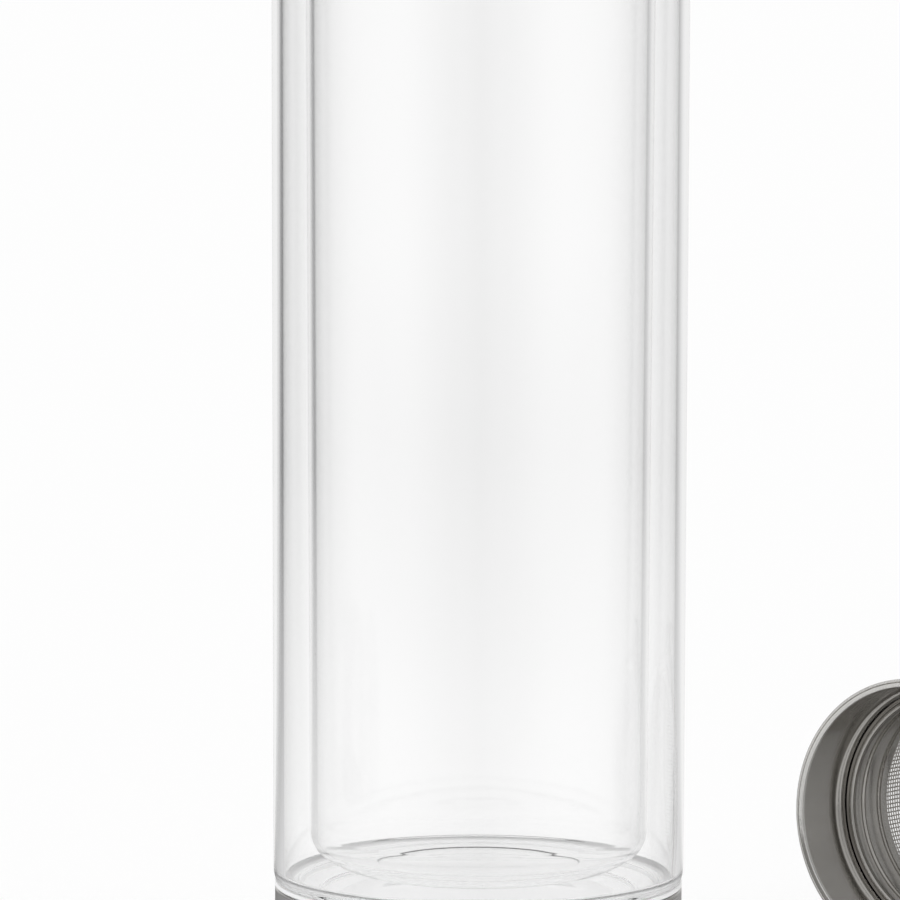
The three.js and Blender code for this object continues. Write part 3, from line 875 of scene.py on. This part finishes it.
def new_group(name, inputs, outputs):
    """Empty group with a Vector input, then inputs of (name, value) and outputs of (name, kind)."""
    group = bpy.data.node_groups.new(name, "ShaderNodeTree")
    group.interface.new_socket(name="Vector", in_out="INPUT", socket_type="NodeSocketVector")
    for title, value in inputs:
        socket = group.interface.new_socket(name=title, in_out="INPUT", socket_type="NodeSocketFloat")
        socket.default_value = value
    for title, kind in outputs:
        group.interface.new_socket(name=title, in_out="OUTPUT", socket_type=kind)
    return group, group.nodes.new("NodeGroupInput"), group.nodes.new("NodeGroupOutput")


def group_node(tree, group, vector, **values):
    made = node(tree, "ShaderNodeGroup", node_tree=group)
    tree.links.new(vector, made.inputs["Vector"])
    for name, value in values.items():
        made.inputs[name].default_value = value
    return made


def turned_brushing_group():
    """Fine lines that run round the axis of a turned piece, which is the Z axis of Vector, in metres."""
    group, start, end = new_group(
        "turned_brushing", [("Lines", 900.0)], [("Streak", "NodeSocketFloat"), ("Band", "NodeSocketFloat")]
    )
    wander = 40  # how fast a line changes along its length, per metre
    parts = node(group, "ShaderNodeSeparateXYZ", links=[("Vector", start.outputs["Vector"])])
    flat = node(group, "ShaderNodeCombineXYZ", links=[("X", parts.outputs["X"]), ("Y", parts.outputs["Y"])])
    radius = node(group, "ShaderNodeVectorMath", links=[(0, flat.outputs[0])], operation="LENGTH")
    across = math_node(group, "ADD", parts.outputs["Z"], radius.outputs["Value"])
    lines = math_node(group, "MULTIPLY", across, start.outputs["Lines"])
    x_slow = math_node(group, "MULTIPLY", parts.outputs["X"], wander)
    y_slow = math_node(group, "MULTIPLY", parts.outputs["Y"], wander)
    stretched = node(group, "ShaderNodeCombineXYZ", links=[("X", x_slow), ("Y", y_slow), ("Z", lines)])
    fine = node(
        group, "ShaderNodeTexNoise", [("Scale", 4.0), ("Detail", 5.0), ("Roughness", 0.65)],
        [("Vector", stretched.outputs[0])],
    )
    broad = node(
        group, "ShaderNodeTexNoise", [("Scale", 0.35), ("Detail", 2.0)], [("Vector", stretched.outputs[0])]
    )
    group.links.new(fine.outputs["Fac"], end.inputs["Streak"])
    group.links.new(broad.outputs["Fac"], end.inputs["Band"])
    return group


def handling_group():
    """Soft cloudy patches, where a surface was wiped or touched."""
    group, start, end = new_group("handling", [("Scale", 60.0)], [("Smudge", "NodeSocketFloat")])
    cloud = node(
        group, "ShaderNodeTexNoise", [("Detail", 4.0), ("Roughness", 0.6), ("Distortion", 0.8)],
        [("Vector", start.outputs["Vector"]), ("Scale", start.outputs["Scale"])],
    )
    group.links.new(remap(group, cloud.outputs["Fac"], 0.42, 0.75), end.inputs["Smudge"])
    return group


def moulded_grain_group():
    """Fine even grain of a matt moulding."""
    group, start, end = new_group(
        "moulded_grain", [("Scale", 2500.0)], [("Height", "NodeSocketFloat"), ("Tone", "NodeSocketFloat")]
    )
    vector = ("Vector", start.outputs["Vector"])
    cells = node(
        group, "ShaderNodeTexVoronoi", links=[vector, ("Scale", start.outputs["Scale"])], feature="SMOOTH_F1"
    )
    cloud_share = 0.03
    slow = math_node(group, "MULTIPLY", start.outputs["Scale"], cloud_share)
    cloud = node(group, "ShaderNodeTexNoise", [("Detail", 3.0)], [vector, ("Scale", slow)])
    group.links.new(cells.outputs["Distance"], end.inputs["Height"])
    group.links.new(cloud.outputs["Fac"], end.inputs["Tone"])
    return group


turned_brushing = turned_brushing_group()
handling = handling_group()
moulded_grain = moulded_grain_group()


# Materials

# Painted highlight on the infuser's lip: a lighter colour near the mouth, standing in for the bright room
# that the rim reflects
LIP_DEPTH = 0.5 * MM
LIP_FADE = 0.8 * MM
LIP_HIGHLIGHT_COLOUR = (0.66, 0.65, 0.63, 1)
INFUSER_ACROSS = 50 * MM
STREAK_SHARE = 0.6
BAND_SHARE = 0.4
SMUDGE_ON_STEEL = 0.25
SOFT_RADIUS = (0.002, 0.002, 0.002)


def new_material(name):
    material = bpy.data.materials.new(name)
    material.use_nodes = True
    tree = material.node_tree
    tree.nodes.clear()
    shader = node(tree, "ShaderNodeBsdfPrincipled")
    surface = node(tree, "ShaderNodeOutputMaterial", links=[("Surface", shader.outputs["BSDF"])])
    return material, tree, shader, surface


def bump(tree, shader, height, distance):
    made = node(tree, "ShaderNodeBump", [("Strength", 1.0), ("Distance", distance)], [("Height", height)])
    tree.links.new(made.outputs["Normal"], shader.inputs["Normal"])


def clear_plastic():
    """Polished clear plastic with faint smudges. Lamps shine straight through it."""
    material, tree, shader, surface = new_material("clear_plastic")
    shader.inputs["Base Color"].default_value = WHITE
    shader.inputs["Transmission Weight"].default_value = 1
    shader.inputs["IOR"].default_value = 1.5
    touched = group_node(tree, handling, object_place(tree), Scale=45.0)
    tree.links.new(remap(tree, touched.outputs["Smudge"], 0.0, 1.0, 0.0, 0.03), shader.inputs["Roughness"])
    from_lamp = node(tree, "ShaderNodeLightPath").outputs["Is Shadow Ray"]
    either = mix_shader(tree, from_lamp, shader, node(tree, "ShaderNodeBsdfTransparent"))
    tree.links.new(either.outputs[0], surface.inputs["Surface"])
    return material


def lip_painted_highlight(tree, vector, colour):
    """The colour, lighter on the infuser's lip: a painted highlight standing in for the bright room that the
    rim reflects.
    """
    along = node(tree, "ShaderNodeSeparateXYZ", links=[("Vector", vector)]).outputs["Z"]
    return mix_colour(tree, remap(tree, along, LIP_DEPTH, LIP_FADE, 1.0, 0.0), colour, LIP_HIGHLIGHT_COLOUR)


def faint_in_glass(tree, colour):
    """The colour, but white for rays that the clear walls mirrored, so that no grey image shows in them."""
    light = node(tree, "ShaderNodeLightPath")
    through_wall = math_node(tree, "MINIMUM", light.outputs["Transmission Depth"], 1)
    from_afar = math_node(tree, "GREATER_THAN", light.outputs["Ray Length"], INFUSER_ACROSS)
    bounced = math_node(tree, "MINIMUM", light.outputs["Glossy Depth"], 1)
    mirrored = math_node(tree, "MULTIPLY", bounced, math_node(tree, "MAXIMUM", through_wall, from_afar))
    return mix_colour(tree, mirrored, colour, WHITE)


def brushed_steel(name, vector_of, dark, light, rough, lines, depth):
    material, tree, shader, _ = new_material(name)
    shader.inputs["Metallic"].default_value = 1
    vector = vector_of(tree)
    brush = group_node(tree, turned_brushing, vector, Lines=lines)
    touched = group_node(tree, handling, vector, Scale=70.0)
    tone = math_node(
        tree, "ADD", math_node(tree, "MULTIPLY", brush.outputs["Streak"], STREAK_SHARE),
        math_node(tree, "MULTIPLY", brush.outputs["Band"], BAND_SHARE),
    )
    colour = mix_colour(tree, tone, (*dark, 1), (*light, 1))
    if vector_of is infuser_place:
        # The infuser's lip gets its painted highlight here, and the colour turns white in the clear walls'
        # reflections
        colour = faint_in_glass(tree, lip_painted_highlight(tree, vector, colour))
    tree.links.new(colour, shader.inputs["Base Color"])
    smudge = math_node(tree, "MULTIPLY", touched.outputs["Smudge"], SMUDGE_ON_STEEL)
    dullness = math_node(tree, "ADD", brush.outputs["Streak"], smudge)
    tree.links.new(remap(tree, dullness, 0.0, 1.0, *rough), shader.inputs["Roughness"])
    bump(tree, shader, brush.outputs["Streak"], depth)
    return material


def matt_moulding(name, dark, light, rough, grain, depth, soft=0.0):
    material, tree, shader, _ = new_material(name)
    vector = object_place(tree)
    mould = group_node(tree, moulded_grain, vector, Scale=grain)
    touched = group_node(tree, handling, vector, Scale=90.0)
    colour = mix_colour(tree, mould.outputs["Tone"], (*dark, 1), (*light, 1))
    tree.links.new(colour, shader.inputs["Base Color"])
    tree.links.new(remap(tree, touched.outputs["Smudge"], 0.0, 1.0, *rough), shader.inputs["Roughness"])
    shader.inputs["Subsurface Weight"].default_value = soft
    shader.inputs["Subsurface Radius"].default_value = SOFT_RADIUS
    bump(tree, shader, mould.outputs["Height"], depth)
    return material


finishes = {
    "clear_plastic": clear_plastic(),
    "steel": brushed_steel(
        "steel", object_place, dark=(0.42, 0.412, 0.4), light=(0.6, 0.59, 0.575),
        rough=(0.2, 0.36), lines=900.0, depth=0.02 * MM,
    ),
    "infuser_steel": brushed_steel(
        "infuser_steel", infuser_place, dark=(0.335, 0.322, 0.302), light=(0.455, 0.442, 0.42),
        rough=(0.08, 0.22), lines=700.0, depth=0.01 * MM,
    ),
    "steel_mesh": brushed_steel(
        "steel_mesh", infuser_place, dark=(0.5, 0.48, 0.45), light=(0.66, 0.64, 0.61),
        rough=(0.2, 0.36), lines=300.0, depth=0.01 * MM,
    ),
    "grey_plastic": matt_moulding(
        "grey_plastic", dark=(0.68, 0.69, 0.7), light=(0.75, 0.76, 0.77),
        rough=(0.38, 0.52), grain=2600.0, depth=0.02 * MM,
    ),
    "silicone": matt_moulding(
        "silicone", dark=(0.86, 0.86, 0.85), light=(0.92, 0.92, 0.91),
        rough=(0.5, 0.65), grain=1800.0, depth=0.01 * MM, soft=0.3,
    ),
    "white_foam": matt_moulding(
        "white_foam", dark=(0.93, 0.93, 0.93), light=(0.97, 0.97, 0.97),
        rough=(0.75, 0.9), grain=900.0, depth=0.1 * MM,
    ),
}


# Pieces in their places

def place(piece, node, body, slot):
    piece.data.materials.clear()
    piece.data.materials.append(finishes[slot])
    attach(piece, body)
    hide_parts(node)


# Name, profile, steps round the axis, CAD node, body and finish
TURNED_PIECES = [
    ("clear_jacket", outer_jacket(), CLEAR_STEPS, "outer_jacket", "flask", "clear_plastic"),
    ("clear_vessel", inner_vessel(), CLEAR_STEPS, "inner_vessel", "flask", "clear_plastic"),
    ("neck_ring", neck_collar(), PLASTIC_STEPS, "neck_collar", "flask", "grey_plastic"),
    ("seal_ring", neck_seal(), PLASTIC_STEPS, "neck_seal", "flask", "silicone"),
    ("steel_base", base_shell(), STEEL_STEPS, "base_shell", "flask", "steel"),
    ("base_filler", base_cushion(), CLEAR_STEPS, "base_cushion", "flask", "white_foam"),
    ("rubber_foot", foot_pad(), PLASTIC_STEPS, "foot_pad", "flask", "silicone"),
    ("steel_lid", lid_shell(), STEEL_STEPS, "lid_shell", "lid", "steel"),
    ("lid_insert", lid_liner(), PLASTIC_STEPS, "lid_liner", "lid", "grey_plastic"),
    ("lid_filler", lid_insulation(), PLASTIC_STEPS, "lid_insulation", "lid", "white_foam"),
    ("gasket_ring", lid_gasket(), PLASTIC_STEPS, "lid_gasket", "lid_seal", "silicone"),
    ("infuser_mouth", infuser_collar(), STEEL_STEPS, "infuser_collar", "infuser", "infuser_steel"),
    ("infuser_band", infuser_clamp_band(), STEEL_STEPS, "infuser_clamp_band", "infuser", "infuser_steel"),
    ("infuser_foot_ring", infuser_end_ring(), STEEL_STEPS, "infuser_end_ring", "infuser", "infuser_steel"),
]

# Radius of the thread's root, radius of its crest, and the height where it starts
THREADS = {
    "neck_ring": (NECK_OUTER - THREAD_SINK, NECK_OUTER + THREAD_DEPTH, NECK_THREAD_Z),
    "lid_insert": (LINER_INNER + THREAD_SINK, LINER_INNER - THREAD_DEPTH, LID_THREAD_Z),
}

for name, profile, steps, cad_node, body, finish in TURNED_PIECES:
    piece = turned_piece(name, profile, steps)
    if name in THREADS:
        add_threads(piece, *THREADS[name])
    if body == "infuser":
        lay_down(piece)
    place(piece, cad_node, body, finish)

sleeve = lay_down(woven_sleeve("infuser_sleeve", MESH_START, MESH_END))
place(sleeve, "infuser_mesh", "infuser", "steel_mesh")
bottom = lay_down(woven_disc("infuser_bottom", END_MESH_RADIUS, END_MESH_Z))
place(bottom, "infuser_end_mesh", "infuser", "steel_mesh")


# Camera

heading = math.radians(PHOTO_AZIMUTH + CAMERA_YAW)
pitch = math.radians(CAMERA_PITCH)
camera_data = bpy.data.cameras.new("camera")
camera_data.sensor_width = SENSOR_WIDTH
camera_data.lens = FOCAL_PIXELS / PHOTO_PIXELS * SENSOR_WIDTH
camera_data.clip_start, camera_data.clip_end = CAMERA_CLIP
camera = bpy.data.objects.new("camera", camera_data)
bpy.context.scene.collection.objects.link(camera)
camera_back = CAMERA_DISTANCE * math.cos(pitch)
camera_height = CAMERA_AIM_HEIGHT + CAMERA_DISTANCE * math.sin(pitch)
camera_place = Matrix.Rotation(math.radians(PHOTO_AZIMUTH), 3, "Z") @ Vector((0, -camera_back, camera_height))
camera.matrix_world = (
    Matrix.Translation(camera_place)
    @ Matrix.Rotation(heading, 4, "Z")
    @ Matrix.Rotation(math.pi / 2 - pitch, 4, "X")
    @ Matrix.Rotation(math.radians(CAMERA_ROLL), 4, "Z")
)
bpy.context.scene.camera = camera


# Studio, in metres

# How bright the room is in each direction round the flask: straight behind it at 0.5, the camera at 0 and 1
SURROUND = [
    (0.0, 0.5), (0.13, 0.88), (0.24, 0.88), (0.3, 0.7), (0.345, 0.42), (0.38, 0.4), (0.393, 0.3),
    (0.403, 0.15), (0.413, 0.2), (0.4195, 0.5), (0.4255, 0.86), (0.574, 0.86), (0.583, 0.7), (0.593, 0.45),
    (0.602, 0.42), (0.622, 0.55), (0.655, 0.5), (0.7, 0.72), (0.76, 0.88), (0.87, 0.88), (1.0, 0.5),
]
SKY_START = 0.15
SKY_END = 0.75
SKY_COLOUR = (0.8, 0.8, 0.8, 1)

# Floor: dimmer in reflections on the camera's side, by distance from the flask as a share of the reach,
# and whiter near the flask for rays that came through the clear walls
FLOOR_SIZE = 24
FLOOR_DROP = 0.0001
FLOOR_COLOUR = (0.9, 0.9, 0.9, 1)
FLOOR_WHITENESS = 0.86
FLOOR_REACH = 2.0
FLOOR_TONE = [(0.12, 1.0), (0.22, 0.82), (0.45, 0.84), (0.8, 1.0)]
FRONT_FADE = 0.3
NEAR_START = 0.08
NEAR_END = 0.8
NEAR_WHITENESS = 0.6
CONTACT_REACH = 0.001
AIM_HEIGHT = 0.1


def surround_group():
    group, start, end = new_group("surround", [], [("Brightness", "NodeSocketColor")])
    turned = node(
        group, "ShaderNodeVectorRotate", [("Angle", -heading)], [("Vector", start.outputs["Vector"])],
        rotation_type="Z_AXIS",
    )
    parts = node(group, "ShaderNodeSeparateXYZ", links=[("Vector", turned.outputs[0])])
    angle = math_node(group, "ARCTAN2", parts.outputs["X"], parts.outputs["Y"])
    share = math_node(group, "ADD", math_node(group, "DIVIDE", angle, TURN), 0.5)
    group.links.new(ramp_node(group, share, SURROUND), end.inputs["Brightness"])
    return group


surround = surround_group()


def reflection_only(tree, light):
    """1 for rays that were reflected on their way from the camera and met nothing matt, else 0."""
    glossy = math_node(tree, "MINIMUM", light.outputs["Glossy Depth"], 1)
    clean = math_node(tree, "SUBTRACT", 1, light.outputs["Diffuse Depth"], clamp=True)
    return math_node(tree, "MULTIPLY", glossy, clean)


def reflected_floor(tree, light):
    """The room's brightness beyond the floor, as reflections in the clear walls and the steel meet it."""
    here = object_place(tree)
    room = group_node(tree, surround, here).outputs["Brightness"]
    away = node(tree, "ShaderNodeVectorMath", links=[(0, here)], operation="LENGTH").outputs["Value"]
    towards_camera = (math.sin(heading), -math.cos(heading), 0)
    side = node(
        tree, "ShaderNodeVectorMath", [(1, towards_camera)], [(0, here)], operation="DOT_PRODUCT"
    ).outputs["Value"]
    tone = ramp_node(tree, math_node(tree, "DIVIDE", away, FLOOR_REACH), FLOOR_TONE)
    dimmed = mix_colour(tree, remap(tree, side, 0.0, FRONT_FADE), room, tone, "MULTIPLY")
    near = remap(tree, away, NEAR_START, NEAR_END, NEAR_WHITENESS, 0.0)
    near_through_wall = math_node(tree, "MULTIPLY", near, light.outputs["Is Transmission Ray"])
    bright = mix_colour(tree, near_through_wall, dimmed, WHITE)
    return node(tree, "ShaderNodeEmission", links=[("Color", bright)])


def floor_material():
    """White paper that keeps a soft shadow. From below it is clear, and light reaches the underside."""
    material = bpy.data.materials.new("paper_floor")
    material.use_nodes = True
    tree = material.node_tree
    tree.nodes.clear()
    light = node(tree, "ShaderNodeLightPath")
    reflected = reflection_only(tree, light)
    straight_on = math_node(tree, "SUBTRACT", 1, reflected)
    through_wall = math_node(tree, "MULTIPLY", light.outputs["Is Transmission Ray"], straight_on)
    seen = math_node(tree, "MAXIMUM", light.outputs["Is Camera Ray"], through_wall)
    paper = node(tree, "ShaderNodeBsdfDiffuse", [("Color", FLOOR_COLOUR)])
    white = node(tree, "ShaderNodeEmission", [("Strength", 1.0)])
    plain = mix_shader(tree, math_node(tree, "MULTIPLY", seen, FLOOR_WHITENESS), paper, white)
    upper = mix_shader(tree, reflected, plain, reflected_floor(tree, light))
    touching = math_node(tree, "LESS_THAN", light.outputs["Ray Length"], CONTACT_REACH)
    from_underside = math_node(tree, "MULTIPLY", light.outputs["Is Diffuse Ray"], touching)
    backfacing = node(tree, "ShaderNodeNewGeometry").outputs["Backfacing"]
    unseen = math_node(tree, "MAXIMUM", backfacing, from_underside)
    sided = mix_shader(tree, unseen, upper, node(tree, "ShaderNodeBsdfTransparent"))
    node(tree, "ShaderNodeOutputMaterial", links=[("Surface", sided.outputs[0])])
    return material


def studio_world():
    """White to the camera and through the walls, and the room's brightness in reflections."""
    world = bpy.data.worlds.new("studio")
    world.use_nodes = True
    tree = world.node_tree
    tree.nodes.clear()
    light = node(tree, "ShaderNodeLightPath")
    direction = node(tree, "ShaderNodeTexCoord").outputs["Generated"]
    height = node(tree, "ShaderNodeSeparateXYZ", links=[("Vector", direction)]).outputs["Z"]
    room = group_node(tree, surround, direction).outputs["Brightness"]
    sky = mix_colour(tree, remap(tree, height, SKY_START, SKY_END), room, SKY_COLOUR)
    white = node(tree, "ShaderNodeBackground", [("Color", WHITE)])
    lit = node(tree, "ShaderNodeBackground", links=[("Color", sky)])
    mixed = mix_shader(tree, reflection_only(tree, light), white, lit)
    node(tree, "ShaderNodeOutputWorld", links=[("Surface", mixed.outputs[0])])
    return world


def softbox(name, azimuth, elevation, distance, width, height, power):
    """Area lamp aimed at the middle of the flask; azimuth 0 stands behind it, seen from the camera."""
    lamp = bpy.data.lights.new(name, "AREA")
    lamp.shape = "RECTANGLE"
    lamp.size = width
    lamp.size_y = height
    lamp.energy = power
    holder = bpy.data.objects.new(name, lamp)
    bpy.context.scene.collection.objects.link(holder)
    turn = Matrix.Rotation(heading - math.radians(azimuth), 4, "Z")
    tilt = Matrix.Rotation(math.radians(elevation), 4, "X")
    aim = Matrix.Translation((0, 0, AIM_HEIGHT))
    facing = Matrix.Rotation(math.pi / 2, 4, "X")
    holder.matrix_world = aim @ turn @ tilt @ Matrix.Translation((0, distance, 0)) @ facing


bpy.ops.object.select_all(action="DESELECT")
bpy.ops.mesh.primitive_plane_add(size=FLOOR_SIZE)
floor = bpy.context.active_object
floor.name = "floor"
floor.location.z = -FLOOR_DROP
floor.data.materials.append(floor_material())

bpy.context.scene.world = studio_world()

softbox("top_softbox", azimuth=0, elevation=78, distance=1.3, width=1.2, height=1.2, power=1.5)
for name, azimuth in (("left_softbox", -125), ("right_softbox", 125)):
    softbox(name, azimuth=azimuth, elevation=30, distance=1.1, width=0.6, height=0.9, power=0.8)

bpy.context.scene.view_settings.view_transform = "Standard"

# The clear walls stand eight surfaces deep, so light needs more steps than the defaults to get through
cycles = bpy.context.scene.cycles
cycles.max_bounces = 40
cycles.transmission_bounces = 40
cycles.glossy_bounces = 16
cycles.blur_glossy = 0
cycles.diffuse_bounces = 12
